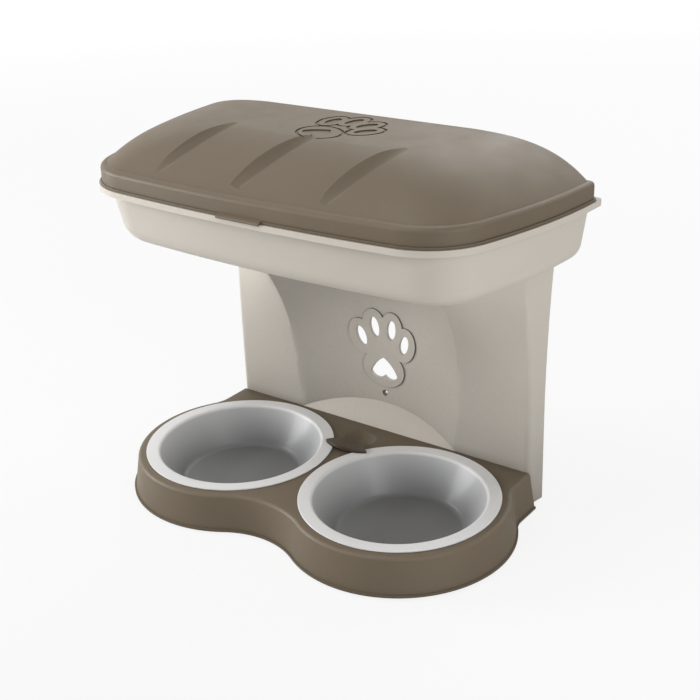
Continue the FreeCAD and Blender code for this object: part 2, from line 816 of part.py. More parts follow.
def dome_section(share, thickness, base):
    """One plan section of the dome: share 0 is its foot; the sides round off into a crown."""
    climb = dome_climb(share)
    front = lid_lip + lid_front_ledge + thickness
    side = lid_lip + lid_side_ledge + thickness
    back = lid_lip + lid_back_ledge + thickness
    crown = 1 - (1 - climb)**(1 / dome_side_power)
    foot_round = lid_corner_radius - front
    front_round = foot_round + share * (dome_top_corner_radius - foot_round)
    runs = tub_runs(front + share * dome_front_run, side + crown * (lid_half_width - side),
                    back + climb * dome_back_run, front_round, dome_back_corner_radius)
    return outline_wire(runs, base + climb * dome_rise)


def dome_solid(thickness, base):
    """The dome over the lid's ledge, inside its outer face by a thickness."""
    sections = [dome_section(share, thickness, base) for share in dome_shares]
    return Part.makeLoft(sections, True, False)


def groove_tools(grow):
    """Three bent rods that scoop the soft grooves out of the dome's front slope."""
    share = groove_middle_share
    foot_y = lid_front_y + lid_lip + lid_front_ledge
    slope = math.atan2(2 * (1 - share) * dome_rise, dome_front_run)
    height = ledge_height + dome_climb(share) * dome_rise
    middle = Vector(groove_middle_x, foot_y + share * dome_front_run, height)
    lift = Vector(0, -math.sin(slope), math.cos(slope))
    run = FreeCAD.Rotation(lift, -groove_lean_angle).multVec(Vector(0, math.cos(slope), math.sin(slope)))
    axis = run.cross(lift)
    start = middle + lift * (groove_tube_radius - groove_depth)
    hub = start - lift * groove_path_radius
    tools = []
    for step in (-1, 0, 1):
        disc = Part.Face(Part.Wire(Part.makeCircle(groove_tube_radius + grow, start, run)))
        disc.rotate(hub, axis, -groove_turn_angle)
        rod = disc.revolve(hub, axis, 2 * groove_turn_angle)
        rod.translate(Vector(step * groove_pitch, 0, 0))
        tools.append(rod)
    return tools


def relief_tool():
    """A small paw to sink into the dome's flat top: a contour line, with toes and a pad in it."""
    length = relief_depth + cut_overrun
    contour = make_paw(paw_plate_margin, length).cut(make_paw(paw_plate_margin - relief_line, length))
    paw = contour.fuse(make_paw(0, length))
    paw.rotate(Vector(0, 0, 0), Vector(1, 0, 0), 90)
    paw.rotate(Vector(0, 0, 0), Vector(0, 0, 1), relief_turn_angle)
    top = ledge_height + dome_climb(dome_shares[-1]) * dome_rise
    paw.translate(Vector(relief_x, relief_y, top - relief_depth))
    return paw


def lift_tab():
    """The thumb tab in the middle of the lid's front edge, over the flange's edge."""
    flange_front = lid_front_y - flange_overhang - lift_tab_gap
    front = flange_front - lift_tab_thickness
    low = flange_height - lift_tab_drop
    inner = lid_front_y + lid_lip + lid_wall / 2
    corners = [((inner, flange_height + lift_tab_rise), 0),
               ((front, flange_height + lift_tab_thickness), lift_tab_thickness),
               ((front, low), lift_tab_gap),
               ((flange_front, low), lift_tab_gap),
               ((flange_front, flange_height + lift_tab_gap), 0),
               ((inner, flange_height + lift_tab_gap), 0)]
    face = upright_face(corners, lambda p: Vector(-lift_tab_half_width, p[0], p[1]))
    return face.extrude(Vector(2 * lift_tab_half_width, 0, 0))


def make_lid():
    """The lid: a skirt with a lip and a rounded ledge, a grooved dome and hinge knuckles."""
    skirt = Part.Face(even_outline(flange_height, lid_lip)).extrude(Vector(0, 0, lid_skirt_height))
    top_edges = [edge for edge in skirt.Edges if edge.BoundBox.ZMin > ledge_height - lid_wall]
    skirt = skirt.makeFillet(lid_edge_round, top_edges)
    lip = Part.Face(even_outline(flange_height, 0)).extrude(Vector(0, 0, lid_lip_height))
    outer = joined([skirt, lip, dome_solid(0, ledge_height)])

    inner_low = Part.Face(even_outline(flange_height - cut_overrun, lid_lip + lid_wall))
    inner_skirt = inner_low.extrude(Vector(0, 0, cut_overrun + lid_skirt_height - lid_wall))
    ceiling = ledge_height - lid_wall
    inner = joined([inner_skirt, dome_solid(lid_wall, ceiling)])
    inner = inner.cut(joined(groove_tools(lid_wall)))
    shell = outer.cut(joined(groove_tools(0))).cut(inner).cut(relief_tool())

    half = lid_knuckle_length / 2
    solids = [shell, lift_tab()]
    for side in (-1, 1):
        x = side * hinge_x
        solids.append(box(x - half, x + half, lid_back_y - lid_lip - lid_wall / 2, hinge_y,
                          hinge_z - hinge_barrel_radius, hinge_z + hinge_barrel_radius))
    solids += hinge_knuckles([(-half, half)], hinge_barrel_radius)
    bores = hinge_knuckles([(-half - knuckle_end_gap, half + knuckle_end_gap)],
                           hinge_pin_radius + hinge_running_fit)
    return joined(solids).cut(joined(bores)).removeSplitter()


def make_hinge_pin(side):
    """A hinge pin through a lid knuckle and the bin's two knuckles."""
    outer = bin_knuckle_spans()[1][1]
    return rod_x(hinge_pin_radius, hinge_y, hinge_z, side * hinge_x - outer, side * hinge_x + outer)


# Screws, washers and feet

def screw_at(place, direction):
    """A pan-head screw whose head's underside lies at a place, driven along a direction."""
    head = Part.makeCylinder(screw_head_radius, screw_head_height, place, -direction)
    return head.fuse(Part.makeCylinder(screw_radius, screw_length, place, direction))


def make_bin_screws():
    """Screws up into the bin's bosses, under the column's roof."""
    seat = bin_screw_seat()
    return Part.Compound([screw_at(Vector(x, y, seat), Vector(0, 0, 1)) for x, y in bin_screw_places()])


def make_bin_washers():
    """Broad washers between the bin's screws and the column's roof."""
    low = bin_screw_seat()
    washers = []
    for x, y in bin_screw_places():
        disc = ring(washer_radius, low, low + washer_thickness, x, y)
        hole = screw_radius + screw_hole_clearance
        washers.append(disc.cut(ring(hole, low - cut_overrun, low + cut_overrun, x, y)))
    return Part.Compound(washers)


def make_tray_screws():
    """Screws through the column's front wall into the tray's bosses."""
    seat_y = column_front_y + column_wall
    return Part.Compound([screw_at(Vector(x, seat_y, tray_screw_height), Vector(0, -1, 0))
                          for x in tray_screw_places])


def foot_at(x, y):
    """A rubber foot with a peg, under a moulding."""
    profile = [((0, 0), 0), ((foot_radius - foot_chamfer, 0), 0), ((foot_radius, foot_chamfer), 0),
               ((foot_radius, floor_gap), 0), ((foot_peg_radius, floor_gap), 0),
               ((foot_peg_radius, floor_gap + foot_peg_length), 0), ((0, floor_gap + foot_peg_length), 0)]
    center = Vector(x, y, 0)
    face = upright_face(profile, lambda p: center + Vector(p[0], 0, p[1]))
    return face.revolve(center, Vector(0, 0, 1), 360)


def make_tray_feet():
    """Four rubber feet under the tray."""
    return Part.Compound([foot_at(x, y) for x, y in tray_foot_places()])


def make_column_feet():
    """Four rubber feet under the column."""
    return Part.Compound([foot_at(x, back_y - column_depth / 2) for x in column_foot_places])


def main():
    """Build every piece and write it to its own file."""
    pieces = {
        "lid": make_lid(),
        "hinge_pin_left": make_hinge_pin(-1),
        "hinge_pin_right": make_hinge_pin(1),
        "storage_bin": make_bin(),
        "column": make_column(),
        "bowl_tray": make_tray(),
        "bowl_left": make_bowl(-1),
        "bowl_right": make_bowl(1),
        "bowl_latch": make_latch(),
        "latch_screw": make_latch_screw(),
        "latch_washer": make_latch_washer(),
        "bin_screws": make_bin_screws(),
        "bin_washers": make_bin_washers(),
        "tray_screws": make_tray_screws(),
        "tray_feet": make_tray_feet(),
        "column_feet": make_column_feet(),
    }
    os.makedirs("parts", exist_ok=True)
    for name, shape in pieces.items():
        shape.exportStep("parts/" + name + ".step")


main()
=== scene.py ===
"""Looks of the raised double bowl stand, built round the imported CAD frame.

Every CAD node stays where the frame puts it and gets its finish from the class of its sub-assembly.
The column's class also closes a gap in the paw plate. The studio gives the floor, the light and the
camera. Lengths are in metres, and colours are display values from 0 to 255.
"""

import logging
import math
from dataclasses import dataclass
from enum import Enum
from typing import Dict, List, Optional, Sequence, Tuple, Union

import bmesh
import bpy
from mathutils import Matrix, Vector


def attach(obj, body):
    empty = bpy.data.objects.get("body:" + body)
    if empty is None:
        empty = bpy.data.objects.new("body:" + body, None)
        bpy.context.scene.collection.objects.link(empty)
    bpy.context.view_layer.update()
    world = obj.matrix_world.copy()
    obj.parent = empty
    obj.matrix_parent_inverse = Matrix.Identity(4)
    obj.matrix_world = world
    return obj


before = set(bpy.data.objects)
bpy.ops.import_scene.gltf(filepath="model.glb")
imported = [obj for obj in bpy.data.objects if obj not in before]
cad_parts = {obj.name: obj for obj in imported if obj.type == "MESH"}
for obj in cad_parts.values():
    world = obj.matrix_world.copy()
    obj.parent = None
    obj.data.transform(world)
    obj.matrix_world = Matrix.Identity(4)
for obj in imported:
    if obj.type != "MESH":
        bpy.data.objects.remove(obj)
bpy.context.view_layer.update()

LOG = logging.getLogger("bowl_stand")

Colour = Tuple[float, float, float]
Rgba = Tuple[float, float, float, float]
Point = Tuple[float, float, float]
Span = Tuple[float, float]
Socket = bpy.types.NodeSocket
Paint = Union[Rgba, Socket]

WHITE: Rgba = (1.0, 1.0, 1.0, 1.0)
BLACK: Rgba = (0.0, 0.0, 0.0, 1.0)

# The display's colour curve: straight below the knee, a power above it
DISPLAY_TOP = 255.0
CURVE_KNEE = 0.04045
CURVE_SLOPE = 12.92
CURVE_OFFSET = 0.055
CURVE_POWER = 2.4


class Node(str, Enum):
    """Names of the frame's nodes."""

    LID = "lid"
    PIN_LEFT = "hinge_pin_left"
    PIN_RIGHT = "hinge_pin_right"
    BIN = "storage_bin"
    COLUMN = "column"
    TRAY = "bowl_tray"
    BOWL_LEFT = "bowl_left"
    BOWL_RIGHT = "bowl_right"
    LATCH = "bowl_latch"
    LATCH_SCREW = "latch_screw"
    LATCH_WASHER = "latch_washer"
    BIN_SCREWS = "bin_screws"
    BIN_WASHERS = "bin_washers"
    TRAY_SCREWS = "tray_screws"
    TRAY_FEET = "tray_feet"
    COLUMN_FEET = "column_feet"


class Grain(Enum):
    """How a moulding's fine relief is made."""

    SPARK = "spark-eroded mould texture"
    POLISH = "polished mould with faint waviness"


class Join(Enum):
    """Blender's names for the ways two values or colours are joined."""

    ADD = "ADD"
    MULTIPLY = "MULTIPLY"
    MIX = "MIX"


def linear(colour: Colour) -> Rgba:
    """Turn display colour into scene-linear colour.

    Args:
        colour: Red, green and blue as shown on a display, 0 to 255.

    Returns:
        The same colour as linear red, green, blue and an alpha of 1.
    """
    parts = []
    for value in colour:
        share = value / DISPLAY_TOP
        if share <= CURVE_KNEE:
            parts.append(share / CURVE_SLOPE)
        else:
            parts.append(((share + CURVE_OFFSET) / (1 + CURVE_OFFSET)) ** CURVE_POWER)
    return parts[0], parts[1], parts[2], 1.0


class Tree:
    """A material's node tree, with short ways to add and link nodes."""

    NOISE_ROUGHNESS = 0.55
    HOLLOW_SAMPLES = 6
    COLOUR_FIRST = 6
    COLOUR_SECOND = 7
    COLOUR_RESULT = 2

    def __init__(self, name: str) -> None:
        """Start a material whose shader is the standard physical one.

        Args:
            name: The material's name.
        """
        self.material = bpy.data.materials.new(name)
        self.material.use_nodes = True
        self.nodes = self.material.node_tree.nodes
        self.links = self.material.node_tree.links
        self.shader = self.nodes["Principled BSDF"]
        self.place = self.nodes.new("ShaderNodeTexCoord").outputs["Object"]

    def add(self, kind: str, **settings: object) -> bpy.types.Node:
        """Add a node and set its plain properties.

        Args:
            kind: Blender's name for the node type.
            **settings: Properties of the node.

        Returns:
            The new node.
        """
        node = self.nodes.new(kind)
        for key, value in settings.items():
            setattr(node, key, value)
        return node

    def feed(self, name: str, source: Socket) -> None:
        """Link a socket to the shader's input of that name."""
        self.links.new(source, self.shader.inputs[name])

    def noise(self, scale: float, detail: float = 3.0) -> Socket:
        """Add a noise pattern in frame coordinates.

        Args:
            scale: Waves per metre.
            detail: Octaves.

        Returns:
            The pattern's value socket.
        """
        node = self.add("ShaderNodeTexNoise")
        node.inputs["Scale"].default_value = scale
        node.inputs["Detail"].default_value = detail
        node.inputs["Roughness"].default_value = self.NOISE_ROUGHNESS
        self.links.new(self.place, node.inputs["Vector"])
        return node.outputs["Fac"]

    def spread(self, source: Socket, low: float, high: float,
               start: float = 0.3, end: float = 0.7) -> Socket:
        """Map a pattern's values to another range.

        Args:
            source: The pattern.
            low: Result where the pattern is at its start.
            high: Result where the pattern is at its end.
            start: Pattern value that gives low.
            end: Pattern value that gives high.

        Returns:
            The mapped value socket.
        """
        node = self.add("ShaderNodeMapRange")
        for name, value in (("From Min", start), ("From Max", end), ("To Min", low), ("To Max", high)):
            node.inputs[name].default_value = value
        self.links.new(source, node.inputs["Value"])
        return node.outputs["Result"]

    def join(self, first: Socket, second: Socket, how: Join) -> Socket:
        """Join two value sockets.

        Args:
            first: One value.
            second: The other value.
            how: Whether they are added or multiplied.

        Returns:
            The joined value's socket.
        """
        node = self.add("ShaderNodeMath", operation=how.value)
        self.links.new(first, node.inputs[0])
        self.links.new(second, node.inputs[1])
        return node.outputs["Value"]

    def mix(self, amount: Socket, first: Paint, second: Paint, how: Join = Join.MIX) -> Socket:
        """Mix two colours by a value socket.

        Args:
            amount: The mixing value.
            first: A colour or a colour socket.
            second: A colour or a colour socket.
            how: Whether the second covers the first or multiplies it.

        Returns:
            The mixed colour socket.
        """
        node = self.add("ShaderNodeMix", data_type="RGBA", blend_type=how.value)
        self.links.new(amount, node.inputs["Factor"])
        for place, value in ((self.COLOUR_FIRST, first), (self.COLOUR_SECOND, second)):
            if isinstance(value, Socket):
                self.links.new(value, node.inputs[place])
            else:
                node.inputs[place].default_value = value
        return node.outputs[self.COLOUR_RESULT]

    def hollow(self, distance: float, inside: bool) -> Socket:
        """Measure creases, or sharp outer edges if traced inside.

        Args:
            distance: How far the surface is felt.
            inside: True to find outer edges.

        Returns:
            A value socket: 1 on open surface, less near a crease or edge.
        """
        node = self.add("ShaderNodeAmbientOcclusion", inside=inside, only_local=inside,
                        samples=self.HOLLOW_SAMPLES)
        node.inputs["Distance"].default_value = distance
        return node.outputs["AO"]

    def height(self) -> Socket:
        """Measure the height in the frame.

        Returns:
            The height's socket.
        """
        split = self.add("ShaderNodeSeparateXYZ")
        self.links.new(self.place, split.inputs["Vector"])
        return split.outputs["Z"]

    def relief(self, height: Socket, strength: float, depth: float) -> None:
        """Bump the shader's surface.

        Args:
            height: The relief's height pattern.
            strength: How much of it shows.
            depth: Its depth.
        """
        node = self.add("ShaderNodeBump")
        node.inputs["Strength"].default_value = strength
        node.inputs["Distance"].default_value = depth
        self.links.new(height, node.inputs["Height"])
        self.feed("Normal", node.outputs["Normal"])


@dataclass(frozen=True)
class LiningWithPaintedShade:
    """The darker grey of a bowl below its rim, with painted shade that darkens it towards the floor."""

    floor_colour: Colour
    top_colour: Colour
    top: float
    floor: float = 0.006
    blend: float = 0.003

    def lay(self, tree: Tree, colour: Socket) -> Socket:
        """Colour what lies below the rim grey, with painted shade darkest at the floor.

        Args:
            tree: The material's node tree.
            colour: The rim's colour.

        Returns:
            The lined colour with its painted shade.
        """
        # Painted shade: the grey darkens with depth, from top_colour near the rim to floor_colour at the
        # bowl's floor
        rise = tree.spread(tree.height(), 0.0, 1.0, self.floor, self.top)
        inside = tree.mix(rise, linear(self.floor_colour), linear(self.top_colour))
        rim = tree.spread(tree.height(), 0.0, 1.0, self.top - self.blend, self.top)
        return tree.mix(rim, inside, colour)


@dataclass(frozen=True)
class Moulded:
    """An injection-moulded plastic: mottled colour, mould texture, rubbed edges, dust and painted shade
    in creases, painted shade in wide recesses.
    """

    name: str
    colour: Colour
    roughness: float
    worn: Optional[Colour] = None
    # Multiplied into the creases: partly dust, partly painted shade along contact lines
    dust_and_shade: Optional[Colour] = None
    lining_with_shade: Optional[LiningWithPaintedShade] = None
    specular: float = 0.45
    coat: float = 0.0
    coat_roughness: float = 0.12
    mottle: float = 0.035
    cloud_scale: float = 11.0
    cloud_share: float = 0.7
    fleck_scale: float = 140.0
    fleck_share: float = 0.3
    roughness_spread: float = 0.05
    roughness_scale: float = 28.0
    roughness_detail: float = 4.0
    wear: float = 0.35
    wear_reach: float = 0.0008
    wear_span: Span = (0.35, 0.9)
    wear_scale: float = 60.0
    wear_detail: float = 5.0
    wear_least: float = 0.25
    # Crease darkening: partly dust, partly painted contact shade
    crease: float = 0.45
    crease_reach: float = 0.014
    crease_span: Span = (0.25, 0.95)
    # Painted shade: the colour darkens towards black where the wide occlusion finds close surfaces
    shade: float = 0.5
    shade_reach: float = 0.28
    shade_deep: float = 0.2
    shade_open: float = 0.6
    grain: Grain = Grain.SPARK
    grain_scale: float = 950.0
    grain_depth: float = 0.00012
    grain_detail: float = 2.0
    spark_fineness: float = 1.7
    spark_strength: float = 0.35
    polish_strength: float = 0.2

    def make(self) -> bpy.types.Material:
        """Build the material.

        Returns:
            The finished material.
        """
        tree = Tree(self.name)
        colour = self._mottled(tree)
        if self.lining_with_shade is not None:
            colour = self.lining_with_shade.lay(tree, colour)
        if self.worn is not None:
            colour = self._rubbed(tree, colour)
        if self.dust_and_shade is not None:
            colour = self._dusted_and_shaded(tree, colour)
        if self.shade > 0:
            colour = self._painted_shade(tree, colour)
        tree.feed("Base Color", colour)
        patches = tree.noise(self.roughness_scale, self.roughness_detail)
        low = self.roughness - self.roughness_spread
        high = self.roughness + self.roughness_spread
        tree.feed("Roughness", tree.spread(patches, low, high))
        tree.shader.inputs["Specular IOR Level"].default_value = self.specular
        tree.shader.inputs["Coat Weight"].default_value = self.coat
        tree.shader.inputs["Coat Roughness"].default_value = self.coat_roughness
        self._textured(tree)
        return tree.material

    def _mottled(self, tree: Tree) -> Socket:
        """Make the body colour a little cloudy.

        Args:
            tree: The material's node tree.

        Returns:
            The mottled colour.
        """
        body = linear(self.colour)[:3]
        light = tuple(min(1.0, part * (1 + self.mottle)) for part in body) + (1.0,)
        dark = tuple(part * (1 - self.mottle) for part in body) + (1.0,)
        clouds = tree.spread(tree.noise(self.cloud_scale), 0.0, self.cloud_share)
        flecks = tree.spread(tree.noise(self.fleck_scale), 0.0, self.fleck_share)
        return tree.mix(tree.join(clouds, flecks, Join.ADD), dark, light)

    def _rubbed(self, tree: Tree, colour: Socket) -> Socket:
        """Lighten the outer edges in broken patches.

        Args:
            tree: The material's node tree.
            colour: The colour so far.

        Returns:
            The rubbed colour.
        """
        edge = tree.spread(tree.hollow(self.wear_reach, True), self.wear, 0.0, *self.wear_span)
        patches = tree.spread(tree.noise(self.wear_scale, self.wear_detail), self.wear_least, 1.0)
        return tree.mix(tree.join(edge, patches, Join.MULTIPLY), colour, linear(self.worn))

    def _dusted_and_shaded(self, tree: Tree, colour: Socket) -> Socket:
        """Darken the creases with dust and with painted shade along contact lines.

        Args:
            tree: The material's node tree.
            colour: The colour so far.

        Returns:
            The colour with dust and painted shade in its creases.
        """
        # Dust and painted shade: the colour is multiplied darker where the short occlusion finds close
        # surfaces
        crease = tree.spread(tree.hollow(self.crease_reach, False), self.crease, 0.0, *self.crease_span)
        return tree.mix(crease, colour, linear(self.dust_and_shade), Join.MULTIPLY)

    def _painted_shade(self, tree: Tree, colour: Socket) -> Socket:
        """Paint shade into the wide recesses by darkening the colour towards black.

        Args:
            tree: The material's node tree.
            colour: The colour so far.

        Returns:
            The colour with painted shade.
        """
        # Painted shade: occlusion over a wide reach darkens the colour towards black
        recess = tree.hollow(self.shade_reach, False)
        shade = tree.spread(recess, self.shade, 0.0, self.shade_deep, self.shade_open)
        return tree.mix(shade, colour, BLACK)

    def _textured(self, tree: Tree) -> None:
        """Give the surface its fine relief.

        Args:
            tree: The material's node tree.
        """
        if self.grain is Grain.SPARK:
            cells = tree.add("ShaderNodeTexVoronoi", feature="SMOOTH_F1")
            cells.inputs["Scale"].default_value = self.grain_scale
            tree.links.new(tree.place, cells.inputs["Vector"])
            fine = tree.noise(self.grain_scale * self.spark_fineness, self.grain_detail)
            height = tree.join(cells.outputs["Distance"], fine, Join.ADD)
            tree.relief(height, self.spark_strength, self.grain_depth)
        else:
            waves = tree.noise(self.grain_scale, self.grain_detail)
            tree.relief(waves, self.polish_strength, self.grain_depth)


@dataclass(frozen=True)
class Plated:
    """Zinc-plated steel with fine turning lines and a little haze."""

    name: str
    colour: Colour = (176, 178, 180)
    haze: Colour = (140, 140, 138)
    haze_scale: float = 420.0
    haze_detail: float = 4.0
    roughness: Span = (0.24, 0.42)
    roughness_scale: float = 900.0
    line_scale: float = 2200.0
    line_wander: float = 3.0
    line_strength: float = 0.15
    line_depth: float = 0.00005

    def make(self) -> bpy.types.Material:
        """Build the material.

        Returns:
            The finished material.
        """
        tree = Tree(self.name)
        haze = tree.spread(tree.noise(self.haze_scale, self.haze_detail), 0.0, 1.0)
        tree.feed("Base Color", tree.mix(haze, linear(self.colour), linear(self.haze)))
        tree.shader.inputs["Metallic"].default_value = 1.0
        tree.feed("Roughness", tree.spread(tree.noise(self.roughness_scale), *self.roughness))
        lines = tree.add("ShaderNodeTexWave", wave_type="RINGS", rings_direction="Z")
        lines.inputs["Scale"].default_value = self.line_scale
        lines.inputs["Distortion"].default_value = self.line_wander
        tree.links.new(tree.place, lines.inputs["Vector"])
        tree.relief(lines.outputs["Fac"], self.line_strength, self.line_depth)
        return tree.material


@dataclass(frozen=True)
class Rubber:
    """Black rubber with a chalky bloom."""

    name: str
    colour: Colour = (34, 33, 32)
    bloom: Colour = (74, 72, 69)
    bloom_most: float = 0.6
    bloom_scale: float = 240.0
    bloom_detail: float = 6.0
    roughness: Span = (0.72, 0.92)
    roughness_scale: float = 500.0
    grain_scale: float = 2400.0
    grain_detail: float = 2.0
    grain_strength: float = 0.3
    grain_depth: float = 0.00008

    def make(self) -> bpy.types.Material:
        """Build the material.

        Returns:
            The finished material.
        """
        tree = Tree(self.name)
        bloom = tree.spread(tree.noise(self.bloom_scale, self.bloom_detail), 0.0, self.bloom_most)
        tree.feed("Base Color", tree.mix(bloom, linear(self.colour), linear(self.bloom)))
        tree.feed("Roughness", tree.spread(tree.noise(self.roughness_scale), *self.roughness))
        grain = tree.noise(self.grain_scale, self.grain_detail)
        tree.relief(grain, self.grain_strength, self.grain_depth)
        return tree.material


Finish = Union[Moulded, Plated, Rubber]
Plan = Sequence[Tuple[Node, Finish]]


@dataclass(frozen=True)
class Finishes:
    """The stand's finishes, one of each."""

    brown: Moulded = Moulded("taupe_moulding", (117, 105, 88), 0.48, worn=(142, 131, 115),
                             dust_and_shade=(150, 140, 128), specular=0.25)
    brown_dark: Moulded = Moulded("latch_moulding", (82, 71, 57), 0.44, worn=(116, 104, 89),
                                  dust_and_shade=(150, 140, 128))
    pale: Moulded = Moulded("greige_moulding", (211, 204, 193), 0.5, worn=(226, 221, 213),
                            dust_and_shade=(176, 170, 162), mottle=0.015, wear=0.3, crease=0.4,
                            shade=0.75, shade_open=0.8)
    bowl: Moulded = Moulded("bowl_gloss", (236, 236, 236), 0.42,
                            # The bowl's grey lining, darkened towards its floor as painted shade
                            lining_with_shade=LiningWithPaintedShade((134, 135, 136), (188, 189, 190), 0.0502),
                            specular=0.35, coat=0.1, mottle=0.01, roughness_spread=0.02, shade=0.0,
                            grain=Grain.POLISH, grain_scale=30.0, grain_depth=0.0001)
    plated: Plated = Plated("zinc_plate")
    rubber: Rubber = Rubber("foot_rubber")


class Stock:
    """Finishes made so far, so that each is built once."""

    def __init__(self) -> None:
        """Start empty."""
        self.made: Dict[str, bpy.types.Material] = {}

    def of(self, finish: Finish) -> bpy.types.Material:
        """Give a finish's material, building it at its first use.

        Args:
            finish: One of the stand's finishes.

        Returns:
            The material.
        """
        if finish.name not in self.made:
            self.made[finish.name] = finish.make()
        return self.made[finish.name]


@dataclass
class SubAssembly:
    """Some of the frame's nodes that belong together."""

    stock: Stock
    finishes: Finishes
    smooth_angle: float = math.radians(32.0)
    weld: float = 0.000002
    flat_weight: int = 80

    def plan(self) -> Plan:
        """The nodes with their finishes, in order."""
        return ()

    def dress(self) -> List[str]:
        """Give every node of the sub-assembly its finish and smooth shading.

        Returns:
            The names of the dressed nodes.
        """
        done = []
        for node, finish in self.plan():
            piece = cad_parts[node.value]
            piece.data.materials.clear()
            piece.data.materials.append(self.stock.of(finish))
            self.shade(piece)
            done.append(node.value)
        return done

    def shade(self, piece: bpy.types.Object) -> None:
        """Shade a piece's curved faces smooth and keep its sharp edges and flat faces.

        Args:
            piece: The piece's object.
        """
        for polygon in piece.data.polygons:
            polygon.use_smooth = True
            polygon.material_index = 0
        welded = piece.modifiers.new("close_seams", "WELD")
        welded.merge_threshold = self.weld
        split = piece.modifiers.new("sharp_edges", "EDGE_SPLIT")
        split.split_angle = self.smooth_angle
        flat = piece.modifiers.new("flat_faces", "WEIGHTED_NORMAL")
        flat.mode = "FACE_AREA"
        flat.weight = self.flat_weight
        flat.keep_sharp = True


@dataclass
class FoodBin(SubAssembly):
    """The bin with its lid, hinge pins, screws and washers."""

    def plan(self) -> Plan:
        """The nodes with their finishes, in order."""
        return ((Node.BIN, self.finishes.pale), (Node.LID, self.finishes.brown),
                (Node.PIN_LEFT, self.finishes.plated), (Node.PIN_RIGHT, self.finishes.plated),
                (Node.BIN_SCREWS, self.finishes.plated), (Node.BIN_WASHERS, self.finishes.plated))


@dataclass
class Column(SubAssembly):
    """The upright with its gussets, its feet and the web in the middle of its paw plate."""

    body: str = "stand"
    slot: str = "pale_plastic"
    niche_back: float = 0.144
    niche_radius: float = 0.318
    plate_raise: float = 0.0015
    web_half_width: float = 0.019
    web_low: float = 0.1465
    web_high: float = 0.164
    web_sink: float = 0.00003
    web_depth: float = 0.002
    web_steps: int = 16

    def plan(self) -> Plan:
        """The nodes with their finishes, in order."""
        return (Node.COLUMN, self.finishes.pale), (Node.COLUMN_FEET, self.finishes.rubber)

    def dress(self) -> List[str]:
        """Dress the nodes, then close the gap in the paw plate."""
        return super().dress() + [self.fill_plate().name]

    def plate_point(self, step: int, height: float, depth: float) -> Point:
        """Find a point behind the paw plate's curved front.

        Args:
            step: Which of the web's steps across, from the left.
            height: Height above the floor.
            depth: How far behind the plate's front.

        Returns:
            The point in the frame.
        """
        across = self.web_half_width * (2 * step / self.web_steps - 1)
        radius = self.niche_radius - self.plate_raise + depth
        return across, self.niche_back - self.niche_radius + math.sqrt(radius ** 2 - across ** 2), height

    def fill_plate(self) -> bpy.types.Object:
        """Close the gap between the plate's toes and pad with a web level with its front.

        Returns:
            The web's object.
        """
        web = bmesh.new()
        corners = ((self.web_low, self.web_sink), (self.web_high, self.web_sink),
                   (self.web_high, self.web_depth), (self.web_low, self.web_depth))
        steps = range(self.web_steps + 1)
        rows = [[web.verts.new(self.plate_point(step, *corner)) for step in steps] for corner in corners]
        for row, after in zip(rows, rows[1:] + rows[:1]):
            for step in range(self.web_steps):
                web.faces.new((row[step], row[step + 1], after[step + 1], after[step]))
        for end in (0, self.web_steps):
            web.faces.new([row[end] for row in rows])
        bmesh.ops.recalc_face_normals(web, faces=web.faces)
        mesh = bpy.data.meshes.new("paw_plate_web")
        web.to_mesh(mesh)
        web.free()
        piece = bpy.data.objects.new("paw_plate_web", mesh)
        bpy.context.scene.collection.objects.link(piece)
        mesh.materials.append(self.stock.of(self.finishes.pale))
        self.shade(piece)
        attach(piece, self.body)
        return piece


@dataclass
class BowlTray(SubAssembly):
    """The base tray with its feet, screws and turn latch."""

    def plan(self) -> Plan:
        """The nodes with their finishes, in order."""
        return ((Node.TRAY, self.finishes.brown), (Node.TRAY_FEET, self.finishes.rubber),
                (Node.TRAY_SCREWS, self.finishes.plated), (Node.LATCH, self.finishes.brown_dark),
                (Node.LATCH_SCREW, self.finishes.plated), (Node.LATCH_WASHER, self.finishes.plated))


@dataclass
class Bowls(SubAssembly):
    """The two lift-out bowls."""

    def plan(self) -> Plan:
        """The nodes with their finishes, in order."""
        return (Node.BOWL_LEFT, self.finishes.bowl), (Node.BOWL_RIGHT, self.finishes.bowl)


@dataclass(frozen=True)
class Lamp:
    """A soft rectangular lamp."""

    name: str
    place: Point
    aim: Point
    power: float
    width: float
    height: float

    def make(self) -> None:
        """Put the lamp in the scene."""
        data = bpy.data.lights.new(self.name, "AREA")
        data.shape = "RECTANGLE"
        data.size = self.width
        data.size_y = self.height
        data.energy = self.power
        lamp = bpy.data.objects.new(self.name, data)
        lamp.location = self.place
        way = Vector(self.aim) - Vector(self.place)
        lamp.rotation_euler = way.to_track_quat("-Z", "Y").to_euler()
        bpy.context.scene.collection.objects.link(lamp)


